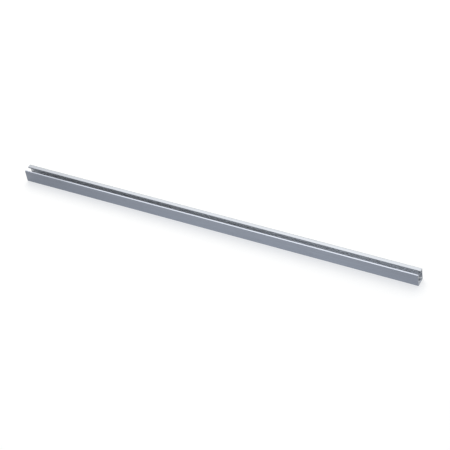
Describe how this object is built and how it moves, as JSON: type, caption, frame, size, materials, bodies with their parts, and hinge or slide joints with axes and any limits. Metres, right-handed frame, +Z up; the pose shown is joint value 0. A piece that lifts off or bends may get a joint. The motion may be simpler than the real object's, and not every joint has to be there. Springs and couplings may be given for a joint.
{
  "type": "aluminium extrusion profile",
  "caption": "Straight length of aluminium extrusion with an off-centre open hook slot along its top and a closed chamber with a screw boss below.",
  "frame": {"origin": "under the middle of the bar, on its bottom face", "axes": "+X along the bar, +Y from the thin front lip to the wide back lip, +Z up, out of the slot"},
  "size_m": [1, 0.024, 0.032],
  "materials": {
    "aluminium": "satin, as extruded, with fine die lines along the length"
  },
  "bodies": {
    "root": {"extrusion_profile": "aluminium"}
  },
  "joints": []
}
